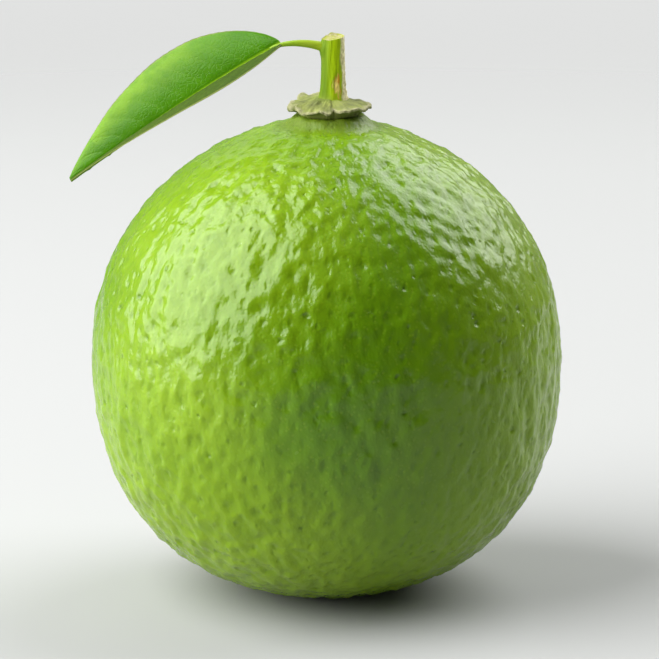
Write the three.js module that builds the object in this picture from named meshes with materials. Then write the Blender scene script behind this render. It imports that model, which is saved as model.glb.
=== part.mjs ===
// A lime as picked, with its calyx, a cut stub of stem and one leaf, standing on its flat lower end.
// Millimetres. The origin is the middle of the flat spot that the fruit rests on, +Z runs up the
// fruit's axis, and the leaf reaches out along -X.

import * as THREE from 'three';

// Fruit: half a superellipse of revolution below the equator and half above it, cut flat below and
// drawn in to a short neck above. A fullness of 2 is an ellipse, and more is squarer.
const FRUIT_RADIUS = 27;
const EQUATOR_Z = 27.1;
const BASE_FULLNESS = 2.34;
const FOOT_RADIUS = 6.5; // the flat spot that it rests on
const SHOULDER_HEIGHT = 27.4; // from the equator to where the shoulders would close
const SHOULDER_FULLNESS = 2.02;
const NECK_FOOT_RADIUS = 5.4;
const NECK_THROAT_RADIUS = 4.1;
const NECK_THROAT_RISE = 0.3; // of the cove's control point above the neck's foot
const NECK_TOP_RADIUS = 3.7;
const NECK_TOP_Z = 54.9;
const FRUIT_SIDES = 48;
const BASE_STEPS = 14;
const SHOULDER_STEPS = 16;
const NECK_STEPS = 5;

// Calyx: a shallow button with five blunt lobes, a little to one side of the fruit's axis.
const CALYX_X = 0.35;
const CALYX_HEIGHT = 1.6;
const CALYX_SEAT_RADIUS = 3.4;
const CALYX_CROWN_RADIUS = 2.4;
const CALYX_RIM_RADIUS = 4.85;
const CALYX_RIM_ROUNDING = 0.15;
const CALYX_RIM_UNDERSIDE = 0.4;
const CALYX_RIM_TOP = 1.1;
const CALYX_SIDES = 50;
const LOBES = 5;
const NOTCH_DEPTH = 0.2; // of the rim's radius
const NOTCH_ANGLE = THREE.MathUtils.degToRad(-81);
const NOTCH_SHARPNESS = 2;
const RIM_BIAS = 4; // how closely the notches keep to the rim

// Stem: a stub of twig flared at its foot, with a slanted cut across its top.
const STEM_X = 0.67;
const STEM_HEIGHT = 7.1;
const STEM_SIDES = 20;
const STEM_RADII = [
	{ height: 0, radius: 1.9 },
	{ height: 0.7, radius: 1.58 },
	{ height: 2, radius: 1.42 },
	{ height: 4, radius: 1.3 },
	{ height: STEM_HEIGHT, radius: 1.2 },
];
const CUT_SLANT_X = 0.1; // rise of the cut for each millimetre towards +X
const CUT_SLANT_Y = 0.08;
const CUT_BIAS = 3; // how closely the slant keeps to the top

// Petiole: a round stalk that arches from the stem's side to the leaf.
const PETIOLE_RADIUS = 0.4;
const PETIOLE_FOOT_X = -0.83;
const PETIOLE_FOOT_Z = 62.55;
const PETIOLE_HANDLE = 1.4; // how far out each end keeps its direction
const PETIOLE_FOOT_LIFT = 0.45;
const PETIOLE_TIP_LIFT = 0.3;
const PETIOLE_SIDES = 10;
const PETIOLE_STEPS = 12;

// Leaf: an ovate blade folded along its midrib. The far half stands up and the near half lies level.
const LEAF_BASE_X = -5;
const LEAF_BASE_Z = 62.72;
const LEAF_REACH = 24; // level distance from its base to its tip
const LEAF_DROP = 15.55; // from its base to its tip
const LEAF_BASE_SLOPE = 0.55; // drop for each millimetre out
const LEAF_TIP_SLOPE = 0.72;
const LEAF_HALF_WIDTH = 6.3;
const LEAF_THICKNESS = 0.4;
const LEAF_BLUNTNESS = [0.004, 0.981]; // where the outline's formula starts, and how much is used
const LEAF_WIDEST_BIAS = 0.8; // below 1, the blade is widest nearer its base
const LEAF_FULLNESS = 0.85;
const FAR_HALF_SLOPES = [70, 48].map(THREE.MathUtils.degToRad); // at the midrib and at the margin
const NEAR_HALF_SLOPES = [12, -3].map(THREE.MathUtils.degToRad);
const LEAF_LENGTH_STEPS = 26;
const LEAF_WIDTH_STEPS = 10;

const GAP = 0.3; // left between the petiole and the leaf

const lime = new THREE.Group();

function addPiece(name, geometry, color, roughness) {
	const material = new THREE.MeshStandardMaterial({ color, roughness, metalness: 0 });
	const piece = new THREE.Mesh(geometry, material);
	piece.name = name;
	lime.add(piece);
	return piece;
}

// Moves each vertex of a geometry to where place(x, y, z) says.
function remap(geometry, place) {
	const positions = geometry.attributes.position;
	for (let i = 0; i < positions.count; i++) {
		const moved = place(positions.getX(i), positions.getY(i), positions.getZ(i));
		positions.setXYZ(i, moved.x, moved.y, moved.z);
	}
	geometry.computeVertexNormals();
	return geometry;
}

// A solid of revolution about +Z, from points of radius and height given from the bottom up.
function turned(profile, sides) {
	return new THREE.LatheGeometry(profile, sides).rotateX(Math.PI / 2);
}

// A point of the fruit's profile. Angles run from the foot, below 0, through the equator to the top.
function fruitPoint(angle, height, fullness) {
	const radius = FRUIT_RADIUS * Math.cos(angle) ** (2 / fullness);
	const rise = height * Math.sin(Math.abs(angle)) ** (2 / fullness);
	return new THREE.Vector2(radius, EQUATOR_Z + Math.sign(angle) * rise);
}

function angleAtRadius(radius, fullness) {
	return Math.acos((radius / FRUIT_RADIUS) ** (fullness / 2));
}

function fruitGeometry() {
	const footShare = (FOOT_RADIUS / FRUIT_RADIUS) ** BASE_FULLNESS;
	const baseHeight = EQUATOR_Z / (1 - footShare) ** (1 / BASE_FULLNESS);
	const footAngle = angleAtRadius(FOOT_RADIUS, BASE_FULLNESS);
	const neckAngle = angleAtRadius(NECK_FOOT_RADIUS, SHOULDER_FULLNESS);
	const profile = [new THREE.Vector2(0, 0), new THREE.Vector2(FOOT_RADIUS, 0)];
	for (let i = 1; i < BASE_STEPS; i++) {
		profile.push(fruitPoint(footAngle * (i / BASE_STEPS - 1), baseHeight, BASE_FULLNESS));
	}
	for (let i = 0; i < SHOULDER_STEPS; i++) {
		profile.push(fruitPoint(neckAngle * (i / SHOULDER_STEPS), SHOULDER_HEIGHT, SHOULDER_FULLNESS));
	}
	const neckFoot = fruitPoint(neckAngle, SHOULDER_HEIGHT, SHOULDER_FULLNESS);
	const throat = new THREE.Vector2(NECK_THROAT_RADIUS, neckFoot.y + NECK_THROAT_RISE);
	const neckTop = new THREE.Vector2(NECK_TOP_RADIUS, NECK_TOP_Z);
	profile.push(...new THREE.QuadraticBezierCurve(neckFoot, throat, neckTop).getPoints(NECK_STEPS));
	profile.push(new THREE.Vector2(0, NECK_TOP_Z));
	return turned(profile, FRUIT_SIDES);
}

function calyxGeometry() {
	const profile = [
		new THREE.Vector2(0, 0),
		new THREE.Vector2(CALYX_SEAT_RADIUS, 0),
		new THREE.Vector2(CALYX_RIM_RADIUS - CALYX_RIM_ROUNDING, CALYX_RIM_UNDERSIDE),
		new THREE.Vector2(CALYX_RIM_RADIUS, (CALYX_RIM_UNDERSIDE + CALYX_RIM_TOP) / 2),
		new THREE.Vector2(CALYX_RIM_RADIUS - CALYX_RIM_ROUNDING, CALYX_RIM_TOP),
		new THREE.Vector2(CALYX_CROWN_RADIUS, CALYX_HEIGHT),
		new THREE.Vector2(0, CALYX_HEIGHT),
	];
	return remap(turned(profile, CALYX_SIDES), (x, y, z) => {
		const nearRim = (Math.hypot(x, y) / CALYX_RIM_RADIUS) ** RIM_BIAS;
		const wave = (1 + Math.cos(LOBES * (Math.atan2(y, x) - NOTCH_ANGLE))) / 2;
		const scale = 1 - NOTCH_DEPTH * nearRim * wave ** NOTCH_SHARPNESS;
		return new THREE.Vector3(x * scale, y * scale, z);
	});
}

function stemGeometry() {
	const profile = [new THREE.Vector2(0, 0)];
	for (const { height, radius } of STEM_RADII) {
		profile.push(new THREE.Vector2(radius, height));
	}
	profile.push(new THREE.Vector2(0, STEM_HEIGHT));
	return remap(turned(profile, STEM_SIDES), (x, y, z) => {
		const nearTop = (z / STEM_HEIGHT) ** CUT_BIAS;
		return new THREE.Vector3(x, y, z + nearTop * (CUT_SLANT_X * x + CUT_SLANT_Y * y));
	});
}

function petioleGeometry() {
	const outline = [];
	for (let i = 0; i < PETIOLE_SIDES; i++) {
		const angle = (2 * Math.PI * i) / PETIOLE_SIDES;
		outline.push(new THREE.Vector2(Math.cos(angle), Math.sin(angle)).multiplyScalar(PETIOLE_RADIUS));
	}
	const tipX = LEAF_BASE_X + GAP;
	const arch = new THREE.CubicBezierCurve3(
		new THREE.Vector3(PETIOLE_FOOT_X, 0, PETIOLE_FOOT_Z),
		new THREE.Vector3(PETIOLE_FOOT_X - PETIOLE_HANDLE, 0, PETIOLE_FOOT_Z + PETIOLE_FOOT_LIFT),
		new THREE.Vector3(tipX + PETIOLE_HANDLE, 0, LEAF_BASE_Z + PETIOLE_TIP_LIFT),
		new THREE.Vector3(tipX, 0, LEAF_BASE_Z),
	);
	const section = new THREE.Shape(outline);
	return new THREE.ExtrudeGeometry(section, { steps: PETIOLE_STEPS, extrudePath: arch });
}

function leafMidrib() {
	const handle = LEAF_REACH / 3;
	const tipX = LEAF_BASE_X - LEAF_REACH;
	const tipZ = LEAF_BASE_Z - LEAF_DROP;
	return new THREE.CubicBezierCurve3(
		new THREE.Vector3(LEAF_BASE_X, 0, LEAF_BASE_Z),
		new THREE.Vector3(LEAF_BASE_X - handle, 0, LEAF_BASE_Z - handle * LEAF_BASE_SLOPE),
		new THREE.Vector3(tipX + handle, 0, tipZ + handle * LEAF_TIP_SLOPE),
		new THREE.Vector3(tipX, 0, tipZ),
	);
}

// Half the blade's width at a share of its length.
function leafHalfWidth(along) {
	const [start, used] = LEAF_BLUNTNESS;
	const phase = Math.PI * (start + used * along) ** LEAF_WIDEST_BIAS;
	return LEAF_HALF_WIDTH * Math.sin(phase) ** LEAF_FULLNESS;
}

function leafGeometry() {
	const midrib = leafMidrib();
	const foldLean = (FAR_HALF_SLOPES[0] - NEAR_HALF_SLOPES[0]) / 2;
	const blank = new THREE.BoxGeometry(1, 1, 1, LEAF_LENGTH_STEPS, LEAF_WIDTH_STEPS, 1);
	return remap(blank, (x, y, z) => {
		const along = 0.5 - x;
		const across = 2 * Math.abs(y);
		const side = Math.sign(y);
		const tangent = midrib.getTangent(along);
		const up = new THREE.Vector3(tangent.z, 0, -tangent.x);

		// Each half is an arc in cross-section: its slope turns evenly from the midrib to the margin.
		const [inner, outer] = side < 0 ? NEAR_HALF_SLOPES : FAR_HALF_SLOPES;
		const slope = THREE.MathUtils.lerp(inner, outer, across);
		const arcRadius = leafHalfWidth(along) / (outer - inner);
		const reach = arcRadius * (Math.sin(slope) - Math.sin(inner));
		const rise = arcRadius * (Math.cos(inner) - Math.cos(slope));
		const lean = side === 0 ? foldLean : side * slope;

		const place = midrib.getPoint(along);
		place.addScaledVector(up, rise + z * LEAF_THICKNESS * Math.cos(lean));
		place.y += side * reach - z * LEAF_THICKNESS * Math.sin(lean);
		return place;
	});
}

addPiece('fruit', fruitGeometry(), 0x8fc02c, 0.35);
addPiece('calyx', calyxGeometry(), 0x9aa35c, 0.8).position.set(CALYX_X, 0, NECK_TOP_Z);
addPiece('stem', stemGeometry(), 0x8aa828, 0.6).position.set(STEM_X, 0, NECK_TOP_Z + CALYX_HEIGHT);
addPiece('petiole', petioleGeometry(), 0x82a02c, 0.5);
addPiece('leaf_blade', leafGeometry(), 0x5f9e14, 0.35);

export default lime;
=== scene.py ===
import math

import bpy
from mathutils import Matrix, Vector, noise


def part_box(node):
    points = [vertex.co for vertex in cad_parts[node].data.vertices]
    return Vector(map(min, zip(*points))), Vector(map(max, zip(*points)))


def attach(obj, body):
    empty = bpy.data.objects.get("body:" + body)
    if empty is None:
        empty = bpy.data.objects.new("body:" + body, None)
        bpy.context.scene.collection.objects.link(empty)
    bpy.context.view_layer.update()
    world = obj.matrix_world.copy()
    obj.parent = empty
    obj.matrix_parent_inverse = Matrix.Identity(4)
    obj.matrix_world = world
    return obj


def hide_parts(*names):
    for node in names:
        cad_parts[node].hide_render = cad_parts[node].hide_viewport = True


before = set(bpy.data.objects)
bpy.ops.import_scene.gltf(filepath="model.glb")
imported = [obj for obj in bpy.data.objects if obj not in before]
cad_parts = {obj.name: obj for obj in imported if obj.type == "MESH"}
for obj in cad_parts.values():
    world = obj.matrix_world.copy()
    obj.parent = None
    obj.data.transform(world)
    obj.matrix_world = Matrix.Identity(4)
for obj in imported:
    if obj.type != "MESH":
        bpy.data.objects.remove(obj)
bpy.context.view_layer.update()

MM = 0.001  # sizes are in millimetres until a mesh or a light is made


# ---- The fruit ----------------------------------------------------------------------------------
# A green lime, grown as one piece: a waxy peel over an almost round body. It is drawn in to a
# neck under the calyx, and flattened at the other end, where the flower's style left a sunk scar.
# Oil glands dimple the peel, and between them it stands in low wrinkles that run from end to end.

FRUIT_LOW, FRUIT_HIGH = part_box("fruit")
FRUIT_RADIUS = (FRUIT_HIGH.x - FRUIT_LOW.x) / 2 / MM
EQUATOR_HEIGHT = 27.1
FRUIT_SIZES = {
    "Radius": FRUIT_RADIUS + 0.44,
    "Equator height": EQUATOR_HEIGHT,
    "Base depth": 28.0,
    "Foot level": -0.55,
    "Base fullness": 2.34,
    "Shoulder height": 27.45,
    "Shoulder fullness": 2.02,
    "Neck foot radius": 5.6,
    "Neck top radius": 3.7,
    "Neck top height": FRUIT_HIGH.z / MM + 0.3,
    "Neck offset": 0.35,
    "Scar depth": 0.8,
    "Scar radius": 2.4,
    "Unevenness": 0.3,
    "Swell depth": 0.7,
    "Ridge depth": 0.42,
    "Wrinkle depth": 0.1,
    "Pit depth": 0.2,
    "Seed": 7.0,
}
FRUIT_GRID = 128
FOOT_ROUNDING = 0.3
STYLE_SCAR_MIDDLE = 0.3
NECK_SMOOTHNESS, SCAR_SMOOTHNESS = 0.35, 0.5
UNEVEN_CELL = 20.0
SWELL_CELL = 2.4
RIDGE_CELL = 1.1
WRINKLE_CELL = 1.15
WRINKLE_STRETCH = 1.55
PIT_CELL = 2.7
PORE_CELL = 0.62
END_SPREAD = -0.35
# Painted light and shade in the peel's colour: lighter towards the right and the bottom, darker
# towards the left, the top, the front and the back.
PAINTED_LIGHT_SIDE = (0.012, 0.0, -0.006)
RIPE_AND_LIT_ALL_OVER = 0.75
PAINTED_SHADE_FRONT_AND_BACK = 0.022
RIPE_MOTTLE = 0.2
# Painted light: lighter patches under the main lamp's highlight and under the pale sheen low on the
# left.
PAINTED_LIGHT_PATCHES = (
    {"towards": (-0.0185, -0.026, 0.0185), "start": 0.65, "strength": 0.46},
    {"towards": (-0.0225, -0.0205, -0.0205), "start": 0.5, "strength": 0.5},
)
# Painted shade darkens the furrows, the pits and the neck under the calyx; the pale flecks are the
# peel's own colour.
FURROW_SHADE, PIT_SHADE, FLECK_TINT, NECK_SHADE = 0.2, 0.45, 0.25, 0.8
NECK_RING, NECK_HEIGHT = (3.8, 6.8), (40.0, 50.0)
STYLE_SCAR_RING, STYLE_SCAR_HEIGHT = (0.5, 1.6), (1.0, 2.0)


class Wire:
    """A socket of a node tree. Operators on it add Math nodes, and node() adds any other node."""

    def __init__(self, tree, socket=None):
        self.tree = tree
        self.socket = socket

    def node(self, kind, settings=None, values=None, output=0):
        """Adds a node of any type: its settings first, then its sockets' values or links."""
        made = self.tree.nodes.new(kind)
        for name, setting in (settings or {}).items():
            setattr(made, name, setting)
        for key, value in (values or {}).items():
            if isinstance(value, Wire):
                self.tree.links.new(value.socket, made.inputs[key])
            else:
                made.inputs[key].default_value = value
        return Wire(self.tree, made.outputs[output])

    def output(self, name):
        return Wire(self.tree, self.socket.node.outputs[name])

    def math(self, operation, *others):
        values = dict(enumerate((self, *others)))
        return self.node("ShaderNodeMath", {"operation": operation}, values)

    def vector(self, operation, *others, output=0):
        values = dict(enumerate((self, *others)))
        return self.node("ShaderNodeVectorMath", {"operation": operation}, values, output)

    def scaled(self, factor):
        settings = {"operation": "SCALE"}
        return self.node("ShaderNodeVectorMath", settings, {0: self, "Scale": factor})

    def axis(self, name):
        return self.node("ShaderNodeSeparateXYZ", None, {0: self}, name)

    def joined(self, y, z):
        return self.node("ShaderNodeCombineXYZ", None, {"X": self, "Y": y, "Z": z})

    def between(self, low, high):
        """Rises smoothly from 0 where this is low to 1 where it is high."""
        settings = {"interpolation_type": "SMOOTHSTEP"}
        return self.node("ShaderNodeMapRange", settings, {0: self, 1: low, 2: high})

    def colour(self, at_zero, at_one):
        """The first colour where this is 0, and the second where it is 1. 6 and 7 take colours."""
        settings = {"data_type": "RGBA", "clamp_factor": True}
        return self.node("ShaderNodeMix", settings, {0: self, 6: at_zero, 7: at_one}, 2)

    def __add__(self, other):
        return self.math("ADD", other)

    __radd__ = __add__

    def __sub__(self, other):
        return self.math("SUBTRACT", other)

    def __rsub__(self, other):
        return self.node("ShaderNodeMath", {"operation": "SUBTRACT"}, {0: other, 1: self})

    def __mul__(self, other):
        return self.math("MULTIPLY", other)

    __rmul__ = __mul__

    def __truediv__(self, other):
        return self.math("DIVIDE", other)

    def __rtruediv__(self, other):
        return self.node("ShaderNodeMath", {"operation": "DIVIDE"}, {0: other, 1: self})

    def __pow__(self, other):
        return self.math("POWER", other)


def srgb(red, green, blue):
    """A colour as a screen shows it, from 0 to 255, turned into the linear one a shader takes."""
    shares = [part / 255 for part in (red, green, blue)]
    linear = [s / 12.92 if s <= 0.04045 else ((s + 0.055) / 1.055) ** 2.4 for s in shares]
    return (*linear, 1.0)


def mottle(place, size, detail=2.0):
    """A soft random value, mostly from 0.3 to 0.7, with blotches of about the given size."""
    values = {"Vector": place, "Scale": 1 / size, "Detail": detail}
    return place.node("ShaderNodeTexNoise", None, values)


def shifted(place, size, reach):
    """The place moved at random by up to the reach, so that a pattern laid on it looks grown."""
    values = {"Vector": place, "Scale": 1 / size, "Detail": 1.0}
    drift = place.node("ShaderNodeTexNoise", None, values, "Color")
    return drift.vector("SUBTRACT", (0.5, 0.5, 0.5)).scaled(2 * reach).vector("ADD", place)


def grown_cells(place, size):
    """The distance from the middle of the nearest of many cells of about the given size."""
    return place.node("ShaderNodeTexVoronoi", None, {"Vector": place, "Scale": 1 / size})


def on_peel(place):
    """The place brought out to a ball of the fruit's size, whatever depth it lies at."""
    from_middle = place.vector("SUBTRACT", (0, 0, EQUATOR_HEIGHT))
    return from_middle.vector("NORMALIZE").scaled(FRUIT_RADIUS)


def along_meridians(ball):
    """Stretches what is laid over it from end to end, and keeps it from crowding near the ends."""
    x, y = ball.axis("X"), ball.axis("Y")
    ring = (x * x + y * y).math("SQRT").math("MAXIMUM", 0.01)
    latitude = ball.axis("Z").math("ARCTAN2", ring)
    spread = (ring / FRUIT_RADIUS) ** END_SPREAD
    return (x * spread).joined(y * spread, latitude * (FRUIT_RADIUS / WRINKLE_STRETCH))


def peel_swell(ball):
    """The peel's low bumps, as a soft value around a half."""
    return mottle(along_meridians(ball), SWELL_CELL, 1.0)


def peel_ridges(ball):
    """Finer ridges on the bumps, running from end to end, as a soft value around a half."""
    return mottle(along_meridians(ball), RIDGE_CELL, 1.0)


def peel_wrinkles(ball):
    """The short furrows between the wrinkles, from 0 outside them to 1 along their middles."""
    bent = shifted(along_meridians(ball), 2.0, 0.7)
    cells = grown_cells(bent, WRINKLE_CELL)
    width = cells.output("Color").axis("X") * 0.25 + 0.25
    return 1 - (cells / width).between(0.0, 1.2)


def peel_pits(ball):
    """The sunk glands that lie apart from each other, from 0 outside them to 1 at their middles."""
    bent = shifted(ball, 0.9, 0.3)
    cells = grown_cells(bent, PIT_CELL)
    size = cells.output("Color").axis("Y") * 0.1 + 0.1
    return 1 - (cells / size).between(0.0, 1.1)


def new_tree(name, sizes):
    """Starts a geometry tree with a named input for each size, and returns its inputs."""
    tree = bpy.data.node_groups.new(name, "GeometryNodeTree")
    tree.interface.new_socket("Geometry", in_out="INPUT", socket_type="NodeSocketGeometry")
    for size in sizes:
        tree.interface.new_socket(size, in_out="INPUT", socket_type="NodeSocketFloat")
    tree.interface.new_socket("Material", in_out="INPUT", socket_type="NodeSocketMaterial")
    tree.interface.new_socket("Geometry", in_out="OUTPUT", socket_type="NodeSocketGeometry")
    return Wire(tree).node("NodeGroupInput")


def end_tree(shape, inputs):
    """Ends a geometry tree with smooth faces, real geometry and its material."""
    smooth = shape.node("GeometryNodeSetShadeSmooth", None, {"Geometry": shape})
    real = shape.node("GeometryNodeRealizeInstances", None, {"Geometry": smooth})
    dress = {"Geometry": real, "Material": inputs.output("Material")}
    dressed = shape.node("GeometryNodeSetMaterial", None, dress)
    end = shape.tree.nodes.new("NodeGroupOutput")
    shape.tree.links.new(dressed.socket, end.inputs["Geometry"])
    return shape.tree


def new_object(name, data):
    """An object that holds the given mesh, lamp or lens, put in the scene."""
    made = bpy.data.objects.new(name, data)
    bpy.context.scene.collection.objects.link(made)
    return made


def grown(name, tree, sizes, material):
    """The piece whose plain mesh a geometry tree makes at the given sizes."""
    piece = new_object(name, bpy.data.meshes.new(name))
    modifier = piece.modifiers.new("Growth", "NODES")
    modifier.node_group = tree
    for item in tree.interface.items_tree:
        if item.in_out == "INPUT" and item.name in sizes:
            modifier[item.identifier] = sizes[item.name]
        elif item.in_out == "INPUT" and item.name == "Material":
            modifier[item.identifier] = material
    evaluated = piece.evaluated_get(bpy.context.evaluated_depsgraph_get())
    mesh = bpy.data.meshes.new_from_object(evaluated)
    piece.modifiers.remove(modifier)
    piece.data = mesh
    return piece


def new_material(name):
    """An empty material, and the wire that its nodes start from."""
    material = bpy.data.materials.new(name)
    material.use_nodes = True
    material.node_tree.nodes.clear()
    return material, Wire(material.node_tree)


def place_on(start):
    """The place of each point on the piece, in mm."""
    return start.node("ShaderNodeTexCoord", None, None, "Object").scaled(1 / MM)


def bumps(height):
    """The surface's tilt over bumps of the given height in metres."""
    return height.node("ShaderNodeBump", None, {"Height": height, "Distance": 1.0})


def finish_material(shader):
    """Ends a material with its shader."""
    end = shader.tree.nodes.new("ShaderNodeOutputMaterial")
    shader.tree.links.new(shader.socket, end.inputs["Surface"])


def fruit_tree():
    """The fruit's body and its peel, grown on the grid of a cube."""
    inputs = new_tree("LimeGrowth", FRUIT_SIZES)
    size = inputs.output
    grid = {f"Vertices {axis}": FRUIT_GRID for axis in "XYZ"}
    cube = inputs.node("GeometryNodeMeshCube", None, {"Size": (2, 2, 2), **grid})

    # Each point of a cube's grid gives a direction, and each direction a point of the smooth body.
    corner = inputs.node("GeometryNodeInputPosition")
    way = corner.scaled(math.pi / 4).vector("TANGENT").vector("NORMALIZE")
    upper = way.axis("Z").math("GREATER_THAN", 0.0)
    lower = 1 - upper
    power = 2 / (upper * size("Shoulder fullness") + lower * size("Base fullness"))
    reach = upper * size("Shoulder height") - lower * size("Base depth")
    slant = way.axis("Z").math("ABSOLUTE")
    ring = size("Radius") * (1 - slant * slant).math("SQRT") ** (power - 1)
    x, y = way.axis("X") * ring, way.axis("Y") * ring
    height = size("Equator height") + reach * slant ** power
    z = height.math("SMOOTH_MAX", size("Foot level"), FOOT_ROUNDING)

    off_neck = x - size("Neck offset")
    from_neck = (off_neck * off_neck + y * y).math("SQRT")
    neck = upper * (1 - from_neck.between(size("Neck top radius"), size("Neck foot radius")))
    from_scar = (x * x + y * y).math("SQRT")
    scar = lower * (1 - from_scar.between(STYLE_SCAR_MIDDLE, size("Scar radius")))
    z = z + (size("Neck top height") - z) * neck + size("Scar depth") * scar
    body = inputs.node(
        "GeometryNodeSetPosition", None, {"Geometry": cube, "Position": x.joined(y, z).scaled(MM)}
    )

    # The peel sinks from the smooth body and nowhere stands above it.
    seed = size("Seed")
    place = inputs.node("GeometryNodeInputPosition").scaled(1 / MM)
    ball = on_peel(place)
    elsewhere = ball.vector("ADD", seed.joined(seed, seed))
    sunk = mottle(elsewhere, UNEVEN_CELL, 0.0) * size("Unevenness")
    sunk += peel_swell(ball) * size("Swell depth")
    sunk += peel_ridges(ball) * size("Ridge depth")
    sunk += peel_wrinkles(ball) * size("Wrinkle depth")
    sunk += peel_pits(ball) * size("Pit depth")
    relief_share = (1 - neck * NECK_SMOOTHNESS) * (1 - scar * SCAR_SMOOTHNESS)
    inward = inputs.node("GeometryNodeInputNormal").scaled(sunk * relief_share * -MM)
    peel = inputs.node("GeometryNodeSetPosition", None, {"Geometry": body, "Offset": inward})
    return end_tree(peel, inputs)


# The peel's deep green, which also stands for painted shade, and its paler riper green, which also
# stands for painted light.
YOUNG_AND_SHADED_PEEL, RIPE_AND_LIT_PEEL = srgb(78, 118, 2), srgb(126, 158, 12)
FINE_MOTTLE_GREEN = srgb(74, 112, 4)
FURROW_SHADE_GREEN, PIT_SHADE_GREEN = srgb(60, 98, 4), srgb(54, 92, 4)
GLAND_FLECK = srgb(122, 152, 36)
NECK_SHADE_GREEN = srgb(92, 112, 12)
STYLE_SCAR_BROWN = srgb(96, 74, 36)


def peel_material():
    """Glossy green peel: riper patches with painted light and shade, painted shade in furrows, pits
    and round the neck, and pale flecks over its oil glands.
    """
    material, start = new_material("lime_peel")
    place = place_on(start)
    ball = on_peel(place)
    wrinkles, pits = peel_wrinkles(ball), peel_pits(ball)

    # Ripeness mottled at random, plus painted light and shade: lighter to the right, at the bottom
    # and under the lamps' highlights, darker at the front and back.
    ripeness_and_light = ball.vector("DOT_PRODUCT", PAINTED_LIGHT_SIDE, output="Value") + RIPE_AND_LIT_ALL_OVER
    ripeness_and_light -= ball.axis("Y").math("ABSOLUTE") * PAINTED_SHADE_FRONT_AND_BACK
    # Painted highlights: the peel is painted lighter where the lamps' highlight and sheen fall.
    for lit_patch in PAINTED_LIGHT_PATCHES:
        facing = ball.vector("DOT_PRODUCT", lit_patch["towards"], output="Value")
        ripeness_and_light += facing.between(lit_patch["start"], 1.0) * lit_patch["strength"]
    ripeness_and_light += (mottle(ball, 12.0) - 0.5) * RIPE_MOTTLE
    body = ripeness_and_light.between(0.1, 0.9).colour(YOUNG_AND_SHADED_PEEL, RIPE_AND_LIT_PEEL)
    fine = mottle(along_meridians(ball), 1.2, 3.0).between(0.35, 0.75) * 0.25
    body = fine.colour(body, FINE_MOTTLE_GREEN)
    # Painted shade: the furrows and pits are painted darker.
    body = (wrinkles * FURROW_SHADE).colour(body, FURROW_SHADE_GREEN)
    body = (pits * PIT_SHADE).colour(body, PIT_SHADE_GREEN)
    glands = grown_cells(ball, PORE_CELL)
    flecks = (1 - glands.between(0.12, 0.34)) * FLECK_TINT
    body = flecks.colour(body, GLAND_FLECK)
    x, y, z = place.axis("X"), place.axis("Y"), place.axis("Z")
    from_axis = (x * x + y * y).math("SQRT")
    by_neck = (1 - from_axis.between(*NECK_RING)) * z.between(*NECK_HEIGHT)
    # Painted shade: the peel round the neck, under the calyx, is painted dark olive.
    body = (by_neck * NECK_SHADE).colour(body, NECK_SHADE_GREEN)
    by_scar = (1 - from_axis.between(*STYLE_SCAR_RING)) * (1 - z.between(*STYLE_SCAR_HEIGHT))
    body = by_scar.colour(body, STYLE_SCAR_BROWN)

    pores = 1 - glands.between(0.1, 0.5)
    grain = mottle(ball, 0.35, 2.0)
    creases = mottle(along_meridians(ball), 0.55, 1.0)
    furrows = wrinkles * (FRUIT_SIZES["Wrinkle depth"] * -0.5)
    furrows += pits * (FRUIT_SIZES["Pit depth"] * -0.4)
    relief = (furrows + creases * 0.06 + pores * -0.012 + grain * 0.012) * MM
    dullness = mottle(ball, 4.0) * 0.1 + 0.2 + by_neck * 0.3
    values = {
        "Base Color": body,
        "Roughness": dullness,
        "Normal": bumps(relief),
        "IOR": 1.4,
        "Subsurface Weight": 0.15,
        "Subsurface Radius": (0.5, 1.0, 0.15),
        "Subsurface Scale": 1.0 * MM,
    }
    finish_material(start.node("ShaderNodeBsdfPrincipled", None, values))
    return material


fruit = grown("lime_fruit", fruit_tree(), FRUIT_SIZES, peel_material())
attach(fruit, "root")
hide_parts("fruit")


# ---- The calyx ----------------------------------------------------------------------------------
# The dried calyx of the flower: five blunt sepals, grown together into a shallow cap of thin corky
# tissue. It sits on the fruit's neck, with the stem rising from its middle and one sepal curled up.

CALYX_LOW, CALYX_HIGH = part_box("calyx")
CALYX_MIDDLE = (CALYX_LOW.x + CALYX_HIGH.x) / 2 / MM
CALYX_FOOT, CALYX_TOP = CALYX_LOW.z / MM, CALYX_HIGH.z / MM
CALYX_STEPS = 300
SEPALS = (
    {"angle": -30, "reach": 4.65, "curl": 0.25, "thickness": 0.34},
    {"angle": -120, "reach": 4.4, "curl": 0.1, "thickness": 0.28},
    {"angle": 178, "reach": 4.45, "curl": 0.5, "thickness": 0.85},
    {"angle": 134, "reach": 4.2, "curl": 0.9, "thickness": 0.6},
    {"angle": 46, "reach": 4.4, "curl": 0.1, "thickness": 0.5},
)
SEPAL_SPREAD = 24
NOTCHES = (
    {"angle": -81, "depth": 1.15, "width": 6},
    {"angle": -157, "depth": 0.45, "width": 8},
    {"angle": 155, "depth": 0.6, "width": 7},
    {"angle": 88, "depth": 0.45, "width": 8},
    {"angle": 8, "depth": 0.4, "width": 7},
)
CALYX_HOLE = 1.5
CALYX_CROWN = CALYX_TOP + 0.25
CALYX_SLOPE = 1.05
CALYX_TOP_STEPS, CALYX_RIM_STEPS, CALYX_UNDER_STEPS = 16, 7, 10
SEAT_RADIUS, SEAT_HEIGHT = 3.3, CALYX_FOOT - 0.2
RIM_BULGE = 0.3
RIM_RAGGED = ((4, 0.3), (13, 0.22))
FOLD_HEIGHT, PUCKER_HEIGHT = 0.55, 0.09
SEPAL_GREEN, SEPAL_OLIVE = srgb(130, 138, 66), srgb(106, 113, 58)
SEPAL_FOOT_GREEN = srgb(116, 134, 40)
DRIED_EDGE = srgb(154, 152, 112)
SEPAL_STAIN = srgb(84, 84, 40)


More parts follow.
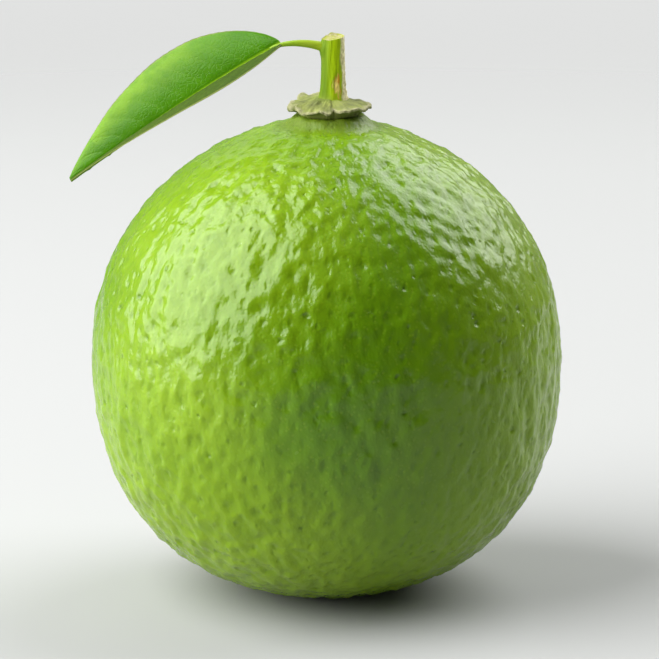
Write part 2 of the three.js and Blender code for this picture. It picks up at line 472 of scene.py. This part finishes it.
def bell(value, width):
    """1 where the value is 0, falling away smoothly over about the given width."""
    return math.exp(-((value / width) ** 2))


def layered_noise(at, layers):
    """Noise in layers, each given as how fine it is and how far it reaches."""
    return sum(reach * noise.noise(at * fineness) for fineness, reach in layers)


def turn_between(first, second):
    """The angle in degrees between two directions given in degrees, from 0 to 180."""
    return abs((first - second + 180) % 360 - 180)


def sepal_share(angle, key):
    """A size of the sepals at this angle, passing smoothly from each sepal to the next."""
    shares = [bell(turn_between(angle, s["angle"]), SEPAL_SPREAD) for s in SEPALS]
    return sum(share * s[key] for share, s in zip(shares, SEPALS)) / sum(shares)


def notch_at(angle):
    """How deep the notches between the sepals cut into the rim at this angle."""
    return sum(n["depth"] * bell(turn_between(angle, n["angle"]), n["width"]) for n in NOTCHES)


def calyx_section(angle):
    """The cap's section in one direction, as (reach, height, share of the way to the rim)."""
    turn = math.radians(angle)
    side = Vector((math.cos(turn), math.sin(turn), 0))
    rim = sepal_share(angle, "reach") - notch_at(angle) + layered_noise(side, RIM_RAGGED)
    thickness = sepal_share(angle, "thickness") + 0.12 * noise.noise(side * 6 + Vector((0, 0, 5)))
    curl = sepal_share(angle, "curl")
    section = []
    for step in range(CALYX_TOP_STEPS + 1):
        share = step / CALYX_TOP_STEPS
        fold = FOLD_HEIGHT * share * noise.noise(side * 3.6 + Vector((0, 0, share * 1.5)))
        pucker = PUCKER_HEIGHT * min(1, share * 3)
        pucker *= noise.noise(side * 9 + Vector((0, 0, share * 4)))
        height = CALYX_CROWN - CALYX_SLOPE * share ** 1.2 + curl * share ** 3 + fold + pucker
        section.append((CALYX_HOLE + (rim - CALYX_HOLE) * share, height, share))
    edge_height = section[-1][1] - thickness / 2
    for step in range(1, CALYX_RIM_STEPS):
        turned = math.pi * step / CALYX_RIM_STEPS
        bulge = RIM_BULGE * thickness * math.sin(turned)
        section.append((rim + bulge, edge_height + thickness / 2 * math.cos(turned), 1.0))
    low = edge_height - thickness / 2
    for step in range(CALYX_UNDER_STEPS + 1):
        share = step / CALYX_UNDER_STEPS
        seat = SEAT_HEIGHT + 0.04 * noise.noise(side * 8)
        height = low + (seat - low) * share ** 4
        section.append((rim + (SEAT_RADIUS - rim) * share, height, 1 - share))
    return section


def paint(mesh, name, values):
    """Gives each point of a mesh a number that its material can read."""
    mesh.attributes.new(name, "FLOAT", "POINT").data.foreach_set("value", values)


def closed_skin(name, sections, axis_x, material):
    """A closed piece through sections round an upright axis, each of (reach, height, share)."""
    count, steps = len(sections), len(sections[0])
    points, shares = [], []
    for number, section in enumerate(sections):
        turn = 2 * math.pi * number / count
        for reach, height, share in section:
            point = (axis_x + reach * math.cos(turn), reach * math.sin(turn), height)
            points.append(Vector(point) * MM)
            shares.append(share)
    faces = []
    for number in range(count):
        here, there = number * steps, (number + 1) % count * steps
        for step in range(steps - 1):
            faces.append((here + step + 1, there + step + 1, there + step, here + step))
    for step, turned in ((0, True), (steps - 1, False)):
        ring = [number * steps + step for number in range(count)]
        middle = sum((points[at] for at in ring), Vector()) / count
        points.append(middle)
        shares.append(shares[ring[0]])
        for first, second in zip(ring, ring[1:] + ring[:1]):
            side = (first, second) if turned else (second, first)
            faces.append((*side, len(points) - 1))
    mesh = bpy.data.meshes.new(name)
    mesh.from_pydata(points, [], faces)
    mesh.shade_smooth()
    mesh.materials.append(material)
    paint(mesh, "outward", shares)
    return new_object(name, mesh)


def painted(start, name):
    """The number that paint() gave each point."""
    return start.node("ShaderNodeAttribute", {"attribute_name": name}, None, "Fac")


def calyx_material():
    """Dull olive tissue, greener by the stem, dry and pale along the edge, with dark stains."""
    material, start = new_material("lime_calyx")
    place = place_on(start)
    outward = painted(start, "outward")
    tissue = mottle(place, 1.4, 3.0).between(0.35, 0.65).colour(SEPAL_GREEN, SEPAL_OLIVE)
    by_stem = (1 - outward.between(0.0, 0.4)) * 0.5
    tissue = by_stem.colour(tissue, SEPAL_FOOT_GREEN)
    dried = (outward + (mottle(place, 0.7, 3.0) - 0.5) * 0.7).between(0.8, 1.1)
    tissue = dried.colour(tissue, DRIED_EDGE)
    stains = mottle(place, 0.5, 4.0).between(0.56, 0.7) * 0.5
    tissue = stains.colour(tissue, SEPAL_STAIN)
    relief = mottle(place, 0.22, 4.0) * 0.07 * MM
    values = {"Base Color": tissue, "Roughness": 0.72, "Normal": bumps(relief), "IOR": 1.4}
    finish_material(start.node("ShaderNodeBsdfPrincipled", None, values))
    return material


calyx_sections = [calyx_section(360 * step / CALYX_STEPS) for step in range(CALYX_STEPS)]
calyx = closed_skin("lime_calyx", calyx_sections, CALYX_MIDDLE, calyx_material())
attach(calyx, "root")
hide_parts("calyx")


# ---- The stem -----------------------------------------------------------------------------------
# A stub of the green twig that bore the fruit, of fibrous wood under a thin bark. It widens into
# the middle of the calyx, was cut off a little slanted, and has a corky side and a torn scar.

STEM_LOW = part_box("stem")[0]
STEM_AXIS = 0.67
STEM_FOOT = STEM_LOW.z / MM - 0.2
STEM_HEIGHT = 7.3
STEM_STEPS = 150
STEM_RINGS = 130
STEM_RADIUS = 1.2
STEM_TAPER, TAPER_HEIGHT = 0.26, 7.1
STEM_FLARE, FLARE_HEIGHT = 0.44, 0.6
BARK_BUMPS = ((4, 0.05), (11, 0.03))
CUT_RADIUS, CUT_HOLLOW = 1.2, 0.12
CUT_SLANT_X, CUT_SLANT_Y = 0.15, 0.12
CUT_SHARES = (0.985, 0.95, 0.9, 0.8, 0.65, 0.5, 0.35, 0.2, 0.08)
TORN_FIBRE = {"angle": 100, "spread": 24, "height": 0.22}
CORK = {"angle": -20, "spread": 36, "height": 0.06, "roughness": 0.09}
SCAR = {"angle": -70, "spread": 16, "low": 0.3, "high": 3.9, "depth": 0.13, "lips": 0.03}
LEAF_FOOT = {"angle": 180, "spread": 34, "height": 6.0, "reach": 0.85, "swell": 0.32}
# The bark's yellow stands for painted light on its right side.
BARK_GREEN, BARK_PAINTED_LIT_YELLOW = srgb(90, 120, 2), srgb(164, 194, 6)
BARK_STREAK, BARK_FLECK = srgb(136, 156, 38), srgb(96, 100, 30)
BARK_FOOT = srgb(118, 130, 38)
BARK_PAINTED_LIGHT_SPAN, BARK_FOOT_ENDS = (-0.4, 1.0), (56.4, 57.5)
PALE_CORK, DARK_CORK = srgb(234, 228, 180), srgb(204, 196, 144)
WOUND_STRAW, WOUND_ORANGE = srgb(222, 202, 110), srgb(196, 146, 44)
WOOD_GREY, WOOD_GREEN = srgb(164, 158, 116), srgb(144, 150, 60)


def cork_at(angle):
    """How corky the bark is at an angle in degrees, from 0 to 1."""
    return bell(turn_between(angle, CORK["angle"]), CORK["spread"])


def scar_at(angle, height):
    """How far from the scar's middle a place is, along it and across it, as shares of its size."""
    middle, half = (SCAR["low"] + SCAR["high"]) / 2, (SCAR["high"] - SCAR["low"]) / 2
    along = min(1, abs(height - middle) / half)
    wander = 6 * math.sin(height * 2.3)
    return along, turn_between(angle, SCAR["angle"] + wander) / SCAR["spread"]


def stem_section(angle):
    """The stem's side in one direction and its cut end, as (reach, height, 1 on the cut end)."""
    turn = math.radians(angle)
    side = Vector((math.cos(turn), math.sin(turn), 0))
    from_torn = turn_between(angle, TORN_FIBRE["angle"])
    torn = TORN_FIBRE["height"] * bell(from_torn, TORN_FIBRE["spread"])
    torn += 0.07 * noise.noise(side * 6)
    cut = STEM_HEIGHT + CUT_RADIUS * (CUT_SLANT_X * side.x + CUT_SLANT_Y * side.y) + torn
    section = []
    for ring in range(STEM_RINGS + 1):
        height = cut * ring / STEM_RINGS
        reach = STEM_RADIUS + STEM_TAPER * max(0, 1 - height / TAPER_HEIGHT)
        reach += STEM_FLARE * math.exp(-height / FLARE_HEIGHT)
        at = side + Vector((0, 0, height * 0.06))
        reach += layered_noise(at, BARK_BUMPS)
        rough = noise.noise(Vector((side.x * 5, side.y * 5, height * 2.2)))
        reach += cork_at(angle) * (CORK["height"] + CORK["roughness"] * rough)
        along, across = scar_at(angle, height)
        groove = (1 - along ** 2) * bell(across, 1 - 0.5 * along)
        lips = (1 - along ** 2) * (bell(across - 1.5, 0.5) + bell(across + 1.5, 0.5))
        reach += lips * SCAR["lips"] - groove * SCAR["depth"] * (0.6 + 0.8 * rough)
        from_leaf = turn_between(angle, LEAF_FOOT["angle"]) / LEAF_FOOT["spread"]
        up = (height - LEAF_FOOT["height"]) / LEAF_FOOT["reach"]
        reach += LEAF_FOOT["swell"] * bell(math.hypot(from_leaf, up), 1)
        section.append((reach, STEM_FOOT + height, 0.0))
    edge, top = section[-1][0], STEM_FOOT + cut
    flat = STEM_FOOT + STEM_HEIGHT
    for share in CUT_SHARES:
        fibre = noise.noise(Vector((side.x * share * 5, side.y * share * 5, 3)))
        hollow = CUT_HOLLOW * (1 - share ** 6)
        height = flat + (top - flat) * share ** 2 - hollow + 0.07 * fibre
        section.append((edge * share, height, 1.0))
    return section


def paint_stem(mesh):
    """Gives each point of the stem its share of the cork and of the torn scar."""
    corks, scars = [], []
    for vertex in mesh.vertices:
        angle = math.degrees(math.atan2(vertex.co.y, vertex.co.x - STEM_AXIS * MM))
        along, across = scar_at(angle, vertex.co.z / MM - STEM_FOOT)
        corks.append(cork_at(angle))
        scars.append((1 - along ** 2) * bell(across, 1.3 - 0.5 * along))
    paint(mesh, "cork", corks)
    paint(mesh, "scar", scars)


def stem_material():
    """Streaky green bark painted lighter towards the right, with pale cork down one side, an orange
    wound, and a bare cut end.
    """
    material, start = new_material("lime_stem")
    place = place_on(start)
    cut_end = painted(start, "outward")
    fibres = place.vector("MULTIPLY", (1, 1, 0.16))
    streaks = mottle(fibres, 0.35, 3.0)
    # Painted light: the bark is painted lighter and yellower towards the right.
    bark = place.axis("X").between(*BARK_PAINTED_LIGHT_SPAN).colour(BARK_GREEN, BARK_PAINTED_LIT_YELLOW)
    bark = (streaks.between(0.4, 0.7) * 0.16).colour(bark, BARK_STREAK)
    flecks = mottle(place, 0.3, 3.0).between(0.62, 0.72) * 0.25
    bark = flecks.colour(bark, BARK_FLECK)
    foot = (1 - place.axis("Z").between(*BARK_FOOT_ENDS)) * 0.6
    bark = foot.colour(bark, BARK_FOOT)
    corky = (painted(start, "cork") + (mottle(fibres, 0.5, 3.0) - 0.5) * 0.8).between(0.4, 0.72)
    cork = mottle(place, 0.45, 3.0).between(0.4, 0.62).colour(PALE_CORK, DARK_CORK)
    bark = corky.colour(bark, cork)
    torn = (painted(start, "scar") + (mottle(fibres, 0.22, 4.0) - 0.5) * 2.2).between(0.3, 0.8)
    wound = mottle(fibres, 0.28, 3.0).between(0.42, 0.6).colour(WOUND_STRAW, WOUND_ORANGE)
    bark = torn.colour(bark, wound)
    wood = mottle(place, 0.4, 3.0).between(0.35, 0.65).colour(WOOD_GREY, WOOD_GREEN)
    skin = cut_end.between(0.3, 0.7).colour(bark, wood)
    relief = (streaks * 0.03 + mottle(place, 0.16, 3.0) * corky * 0.06) * MM
    rough = corky * 0.3 + cut_end * 0.3 + 0.5
    values = {"Base Color": skin, "Roughness": rough, "Normal": bumps(relief), "IOR": 1.22}
    finish_material(start.node("ShaderNodeBsdfPrincipled", None, values))
    return material


stem_sections = [stem_section(360 * step / STEM_STEPS) for step in range(STEM_STEPS)]
stem = closed_skin("lime_stem", stem_sections, STEM_AXIS, stem_material())
paint_stem(stem.data)
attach(stem, "root")
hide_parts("stem")


# ---- The leaf's stalk ---------------------------------------------------------------------------
# The petiole: a thin green stalk, round and a little curved. It grows out of the side of the stem
# near the cut end, is thicker there, and carries the leaf at its other end.

STALK_SIZES = {
    "Foot": -0.2,
    "Foot height": 62.4,
    "Tip": -6.4,
    "Tip height": 62.27,
    "Handle": 1.7,
    "Foot lift": 0.6,
    "Tip lift": 0.9,
    "Radius": 0.34,
    "Foot flare": 0.24,
    "Joint swelling": 0.08,
    "Tip taper": 0.26,
    "Unevenness": 0.05,
}
FLARE_END = 0.32
JOINT_START, JOINT_END = 0.5, 0.7
TAPER_START = 0.88
STALK_OUTER, STALK_INNER = srgb(126, 160, 22), srgb(138, 160, 20)
STALK_FIBRE = srgb(150, 168, 58)
STALK_TURNS_YELLOW = (-4.6, -1.0)


def stalk_tree():
    """A round tube along a curve, wider at its foot and at the joint, and thin at its tip."""
    inputs = new_tree("LeafStalk", STALK_SIZES)
    size = inputs.output
    foot_near = size("Foot") - size("Handle")
    tip_near = size("Tip") + size("Handle")
    ends = {
        "Start": size("Foot").joined(0.0, size("Foot height")).scaled(MM),
        "Start Handle": foot_near.joined(0.0, size("Foot height") + size("Foot lift")).scaled(MM),
        "End Handle": tip_near.joined(0.0, size("Tip height") + size("Tip lift")).scaled(MM),
        "End": size("Tip").joined(0.0, size("Tip height")).scaled(MM),
        "Resolution": 60,
    }
    path = inputs.node("GeometryNodeCurvePrimitiveBezierSegment", None, ends)
    way = inputs.node("GeometryNodeSplineParameter", None, None, "Factor")
    flare = (1 - way.between(0.0, FLARE_END)) ** 2 * size("Foot flare")
    joint = way.between(JOINT_START, JOINT_END) * size("Joint swelling")
    joint -= way.between(TAPER_START, 1.0) * size("Tip taper")
    ring = inputs.node("GeometryNodeCurvePrimitiveCircle", None, {"Resolution": 32, "Radius": MM})
    thickness = size("Radius") + flare + joint
    sweep = {"Curve": path, "Profile Curve": ring, "Scale": thickness, "Fill Caps": True}
    tube = inputs.node("GeometryNodeCurveToMesh", None, sweep)
    place = inputs.node("GeometryNodeInputPosition").scaled(1 / MM)
    uneven = (mottle(place, 0.8) - 0.5) * size("Unevenness") * MM
    out = inputs.node("GeometryNodeInputNormal").scaled(uneven)
    stalk = inputs.node("GeometryNodeSetPosition", None, {"Geometry": tube, "Offset": out})
    return end_tree(stalk, inputs)


def stalk_material():
    """Smooth yellow-green skin with faint pale fibres along it."""
    material, start = new_material("lime_stalk")
    place = place_on(start)
    fibres = mottle(place.vector("MULTIPLY", (0.2, 1, 1)), 0.3, 2.0)
    green = place.axis("X").between(*STALK_TURNS_YELLOW).colour(STALK_OUTER, STALK_INNER)
    green = (fibres.between(0.4, 0.7) * 0.3).colour(green, STALK_FIBRE)
    relief = fibres * (0.03 * MM)
    values = {"Base Color": green, "Roughness": 0.4, "Normal": bumps(relief), "IOR": 1.35}
    finish_material(start.node("ShaderNodeBsdfPrincipled", None, values))
    return material


stalk = grown("lime_petiole", stalk_tree(), STALK_SIZES, stalk_material())
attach(stalk, "root")
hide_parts("petiole")


# ---- The leaf -----------------------------------------------------------------------------------
# A young lime leaf on the end of its stalk: a thin waxy blade folded along its midrib, with its
# far half steep and its near half almost flat. The midrib is a channel above and a ridge below,
# side veins run from it towards the tip, and the edge is finely scalloped.

LEAF_BASE = Vector((-5.2, 0, 62.86))
LEAF_REACH, LEAF_DROP = 23.8, 15.69
BASE_SLOPE, TIP_SLOPE = 0.55, 0.72
LEAF_HALF_WIDTH = 6.3
LEAF_THICKNESS = 0.26
LEAF_LENGTH_STEPS, LEAF_WIDTH_STEPS = 240, 44
HALF_SLOPES = {1: (70, 48), -1: (0, -14)}
NEAR_HALF_TWIST = 17
VEIN_PAIRS = 10
VEIN_WIDTH = 0.17
MIDRIB_WIDTH = 0.32
SCALLOP_DEPTH, SCALLOP_TURNS, EDGE_WANDER = 0.003, 190, 0.008
WAVE_HEIGHT, PUFF_HEIGHT = 0.12, 0.05
RIB_CHANNEL, RIB_RIDGE = 0.1, 0.15
VEIN_CHANNEL, VEIN_RIDGE = 0.03, 0.05
NET_CELL = 0.55
BLADE_GREEN, BLADE_DEEP_GREEN = srgb(69, 124, 4), srgb(60, 112, 4)
# Painted light and shade on the blade: a paler sheen green, and a dark olive for the near half.
BLADE_SHEEN_GREEN, NEAR_HALF_SHADE_OLIVE = srgb(106, 148, 20), srgb(44, 58, 6)
NET_GREEN, VEIN_GREEN, RIB_GREEN = srgb(112, 152, 34), srgb(124, 164, 44), srgb(126, 162, 30)
UNDERSIDE_GREEN, UNDERSIDE_VEIN = srgb(92, 122, 42), srgb(122, 142, 62)
BLADE_MARGIN = srgb(134, 142, 74)
PAINTED_SHEEN_STARTS, PAINTED_SHEEN_FADES, NEAR_HALF_STARTS = (-20.0, -9.0), (-30.0, -25.0), (-0.6, 0.0)


def midrib(share):
    """A point of the midrib and the way up from it, at a share of its length."""
    handle = LEAF_REACH / 3
    tip = LEAF_BASE + Vector((-LEAF_REACH, 0, -LEAF_DROP))
    knots = (
        LEAF_BASE,
        LEAF_BASE + Vector((-handle, 0, -handle * BASE_SLOPE)),
        tip + Vector((handle, 0, handle * TIP_SLOPE)),
        tip,
    )
    rest = 1 - share
    weights = (rest ** 3, 3 * rest ** 2 * share, 3 * rest * share ** 2, share ** 3)
    point = sum((knot * weight for knot, weight in zip(knots, weights)), Vector())
    steps = [after - before for before, after in zip(knots, knots[1:])]
    pulls = (rest ** 2, 2 * rest * share, share ** 2)
    forward = sum((step * pull for step, pull in zip(steps, pulls)), Vector()).normalized()
    return point, Vector((forward.z, 0, -forward.x))


def vein_at(share, across):
    """How close a place is to a side vein, and how far the blade puffs up there, from 0 to 1."""
    forward = 0.1 * across + 0.07 * across ** 2
    place = (share - forward) * VEIN_PAIRS * 1.06 + 0.35
    apart = abs(place - round(place))
    width_here = VEIN_WIDTH * (1 - 0.6 * across)
    vein = bell(apart * LEAF_REACH / VEIN_PAIRS, width_here + 0.02) * (1 - across ** 6)
    return vein, math.sin(math.pi * apart) ** 2


def leaf_point(share, side, across, under):
    """A point of the blade's upper or under side, with its vein and midrib values, in mm."""
    point, up = midrib(share)
    scallop = 1 + SCALLOP_DEPTH * math.sin(share * SCALLOP_TURNS)
    scallop += EDGE_WANDER * noise.noise(Vector((share * 9, side, 2)))
    reach_share = math.sin(math.pi * (0.004 + 0.981 * share) ** 0.8) ** 0.85
    half = LEAF_HALF_WIDTH * reach_share * scallop
    twist = NEAR_HALF_TWIST * share if side < 0 else 0
    inner, painted_sheen = (math.radians(slope + twist) for slope in HALF_SLOPES[side])
    radius = half / (painted_sheen - inner)
    slope = inner + (painted_sheen - inner) * across
    reach = radius * (math.sin(slope) - math.sin(inner))
    rise = radius * (math.cos(inner) - math.cos(slope))
    outward = Vector((0, side, 0))
    face = up * math.cos(slope) - outward * math.sin(slope)
    vein, puff = vein_at(share, across)
    rib = bell(across * half, MIDRIB_WIDTH * (1.15 - 0.6 * share))
    thickness = LEAF_THICKNESS * (1 - across ** 10 * 0.75)
    wave = WAVE_HEIGHT * noise.noise(Vector((share * 4, across * 1.5 * side, 7))) * across
    puffed = PUFF_HEIGHT * puff * min(1, across * 3) * (1 - across ** 4) * reach_share
    relief = puffed - VEIN_CHANNEL * vein + wave
    if under:
        lift = relief - thickness / 2 - RIB_RIDGE * rib * (1 - 0.7 * share) - VEIN_RIDGE * vein
    else:
        lift = relief + thickness / 2 - RIB_CHANNEL * rib
    return point + outward * reach + up * rise + face * lift, max(vein, rib), rib


def leaf_shape(material):
    """Both sides of the blade as grids of points, and the strip that joins them at the edge."""
    width = 2 * LEAF_WIDTH_STEPS + 1
    points, values = [], {"vein": [], "rib": [], "under": [], "edge": []}
    for under in (0, 1):
        for step in range(LEAF_LENGTH_STEPS + 1):
            share = step / LEAF_LENGTH_STEPS
            for place in range(-LEAF_WIDTH_STEPS, LEAF_WIDTH_STEPS + 1):
                side = 1 if place >= 0 else -1
                across = abs(place) / LEAF_WIDTH_STEPS
                point, vein, rib = leaf_point(share, side, across, under)
                points.append(point * MM)
                for name, value in zip(values, (vein, rib, under, across)):
                    values[name].append(value)
    faces, layer = [], (LEAF_LENGTH_STEPS + 1) * width
    for step in range(LEAF_LENGTH_STEPS):
        for place in range(width - 1):
            low = step * width + place
            square = (low, low + width, low + width + 1, low + 1)
            faces.append(square[::-1])
            faces.append(tuple(corner + layer for corner in square))
    first, last = range(width), range(LEAF_LENGTH_STEPS * width, layer)
    right = range(width - 1, layer, width)
    left = range(0, layer, width)
    edge = [*first, *right[1:], *list(last)[::-1][1:], *list(left)[::-1][1:-1]]
    for here, there in zip(edge, edge[1:] + edge[:1]):
        faces.append((here, there, there + layer, here + layer))
    mesh = bpy.data.meshes.new("lime_leaf")
    mesh.from_pydata(points, [], faces)
    mesh.shade_smooth()
    mesh.materials.append(material)
    for name, levels in values.items():
        paint(mesh, name, levels)
    return new_object("lime_leaf", mesh)


def leaf_material():
    """Waxy green blade with a painted sheen along its outer part, a near half in painted shade,
    faint veins and a dull pale underside.
    """
    material, start = new_material("lime_leaf")
    place = place_on(start)
    masks = {name: painted(start, name) for name in ("vein", "rib", "under", "edge")}
    upper = mottle(place, 5.0).between(0.3, 0.7).colour(BLADE_GREEN, BLADE_DEEP_GREEN)
    # Painted sheen: a paler band along the blade's outer part, away from the stalk.
    along = place.axis("X")
    painted_sheen = masks["edge"].between(0.25, 0.85) * (1 - along.between(*PAINTED_SHEEN_STARTS))
    painted_sheen *= mottle(place, 2.0, 3.0).between(0.35, 0.6) * 0.5 + 0.5
    painted_sheen *= along.between(*PAINTED_SHEEN_FADES) * 0.5 + 0.5
    upper = painted_sheen.colour(upper, BLADE_SHEEN_GREEN)
    near_half = 1 - place.axis("Y").between(*NEAR_HALF_STARTS)
    # Painted shade: the near half is painted dark olive.
    upper = (near_half * 0.9).colour(upper, NEAR_HALF_SHADE_OLIVE)
    cells = {"Vector": place, "Scale": 1 / NET_CELL}
    to_wall = place.node("ShaderNodeTexVoronoi", {"feature": "DISTANCE_TO_EDGE"}, cells)
    net = 1 - to_wall.between(0.02, 0.14)
    upper = (net * 0.08).colour(upper, NET_GREEN)
    upper = (masks["vein"] * 0.07).colour(upper, VEIN_GREEN)
    upper = masks["rib"].between(0.35, 0.85).colour(upper, RIB_GREEN)
    lower = (masks["vein"] * 0.6).colour(UNDERSIDE_GREEN, UNDERSIDE_VEIN)
    blade = masks["under"].between(0.4, 0.6).colour(upper, lower)
    margin = masks["edge"].between(0.955, 0.99)
    blade = (margin * 0.6).colour(blade, BLADE_MARGIN)
    relief = (net * -0.012 + mottle(place, 0.25, 2.0) * 0.012) * MM
    rough = masks["under"] * 0.3 + near_half * 0.4 + mottle(place, 2.5) * 0.1 + 0.2
    values = {
        "Base Color": blade,
        "Roughness": rough,
        "Normal": bumps(relief),
        "IOR": 1.22,
        "Subsurface Weight": 0.1,
        "Subsurface Radius": (0.4, 0.8, 0.1),
        "Subsurface Scale": 0.3 * MM,
    }
    finish_material(start.node("ShaderNodeBsdfPrincipled", None, values))
    return material


leaf = leaf_shape(leaf_material())
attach(leaf, "root")
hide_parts("leaf_blade")
leaf.visible_shadow = False  # the thin blade throws no shadow on the peel


# ---- The table, the light and the camera --------------------------------------------------------
# A plain pale table, fading out into a pale room before its edge. Three oval soft lamps: the main
# one on the left, one on the right and a weak one behind. A long lens looks a little downwards.

TABLE_REACH = 0.44
TABLE_FADE_START = 0.24
TABLE_LEVEL = -0.05 * MM
TABLE_GREY = srgb(166, 167, 166)
ROOM_WHITE = srgb(243, 244, 243)
ROOM_SEEN, ROOM_DIM, ROOM_BEHIND, ROOM_LOW_DOWN = 0.84, 0.05, 0.2, 0.13
VIEW_DISTANCE = 0.52
VIEW_WIDTH = 0.0752
VIEW_ELEVATION = math.radians(13)
VIEW_AIM = Vector((0.000275, 0, 0.02985))


def table_top():
    """A square table just under the fruit, clear towards its edge."""
    ways = ((-1, -1), (1, -1), (1, 1), (-1, 1))
    corners = [(x * TABLE_REACH, y * TABLE_REACH, TABLE_LEVEL) for x, y in ways]
    mesh = bpy.data.meshes.new("table")
    mesh.from_pydata(corners, [], [(0, 1, 2, 3)])
    material, start = new_material("table_paint")
    place = start.node("ShaderNodeTexCoord", None, None, "Object")
    far = place.vector("LENGTH", output="Value").between(TABLE_FADE_START, TABLE_REACH)
    values = {"Base Color": TABLE_GREY, "Roughness": 0.7, "Alpha": 1 - far}
    finish_material(start.node("ShaderNodeBsdfPrincipled", None, values))
    mesh.materials.append(material)
    new_object("table", mesh)


def soft_lamp(name, direction, distance, width, height, brightness):
    """An oval lamp that faces the fruit and gives the same brightness at any size."""
    lamp = bpy.data.lights.new(name, "AREA")
    lamp.shape = "ELLIPSE"
    lamp.size, lamp.size_y = width, height
    lamp.energy = brightness * math.pi * width * height * math.pi / 4
    holder = new_object(name, lamp)
    towards = Vector(direction).normalized()
    holder.location = VIEW_AIM + towards * distance
    holder.rotation_mode = "QUATERNION"
    holder.rotation_quaternion = (-towards).to_track_quat("-Z", "Y")
    holder.visible_camera = False


def room_light():
    """A dim room for the fruit, which the camera sees as a plain pale background."""
    world = bpy.data.worlds.new("studio")
    world.use_nodes = True
    world.node_tree.nodes.clear()
    start = Wire(world.node_tree)
    seen = start.node("ShaderNodeLightPath", None, None, "Is Camera Ray")
    way = start.node("ShaderNodeTexCoord", None, None, "Generated")
    behind = way.vector("DOT_PRODUCT", (0, 0.7, 0.7), output="Value").between(-0.3, 0.8)
    low_down = 1 - way.axis("Z").math("ABSOLUTE").between(0.0, 0.4)
    dim = behind * ROOM_BEHIND + ROOM_DIM + low_down * ROOM_LOW_DOWN
    strength = seen * ROOM_SEEN + (1 - seen) * dim
    glow = start.node("ShaderNodeBackground", None, {"Color": ROOM_WHITE, "Strength": strength})
    end = world.node_tree.nodes.new("ShaderNodeOutputWorld")
    world.node_tree.links.new(glow.socket, end.inputs["Surface"])
    bpy.context.scene.world = world


def camera():
    """A long lens in front of the fruit, aimed at its middle from a little above."""
    lens = bpy.data.cameras.new("camera")
    lens.sensor_width = 36
    lens.lens = lens.sensor_width * VIEW_DISTANCE / VIEW_WIDTH
    lens.clip_start = 0.01
    eye = new_object("camera", lens)
    back = Vector((0, -math.cos(VIEW_ELEVATION), math.sin(VIEW_ELEVATION)))
    eye.location = VIEW_AIM + back * VIEW_DISTANCE
    eye.rotation_mode = "QUATERNION"
    eye.rotation_quaternion = (-back).to_track_quat("-Z", "Y")
    bpy.context.scene.camera = eye


table_top()
soft_lamp("key_lamp", (-0.8, -0.14, 0.58), distance=0.6, width=0.84, height=0.96, brightness=6.5)
soft_lamp("right_lamp", (0.57, 0.45, 0.68), distance=0.8, width=0.8, height=0.85, brightness=4.6)
soft_lamp("back_lamp", (-0.15, 0.8, 0.6), distance=0.8, width=0.6, height=0.4, brightness=0.9)
room_light()
camera()
bpy.context.scene.view_settings.view_transform = "Standard"
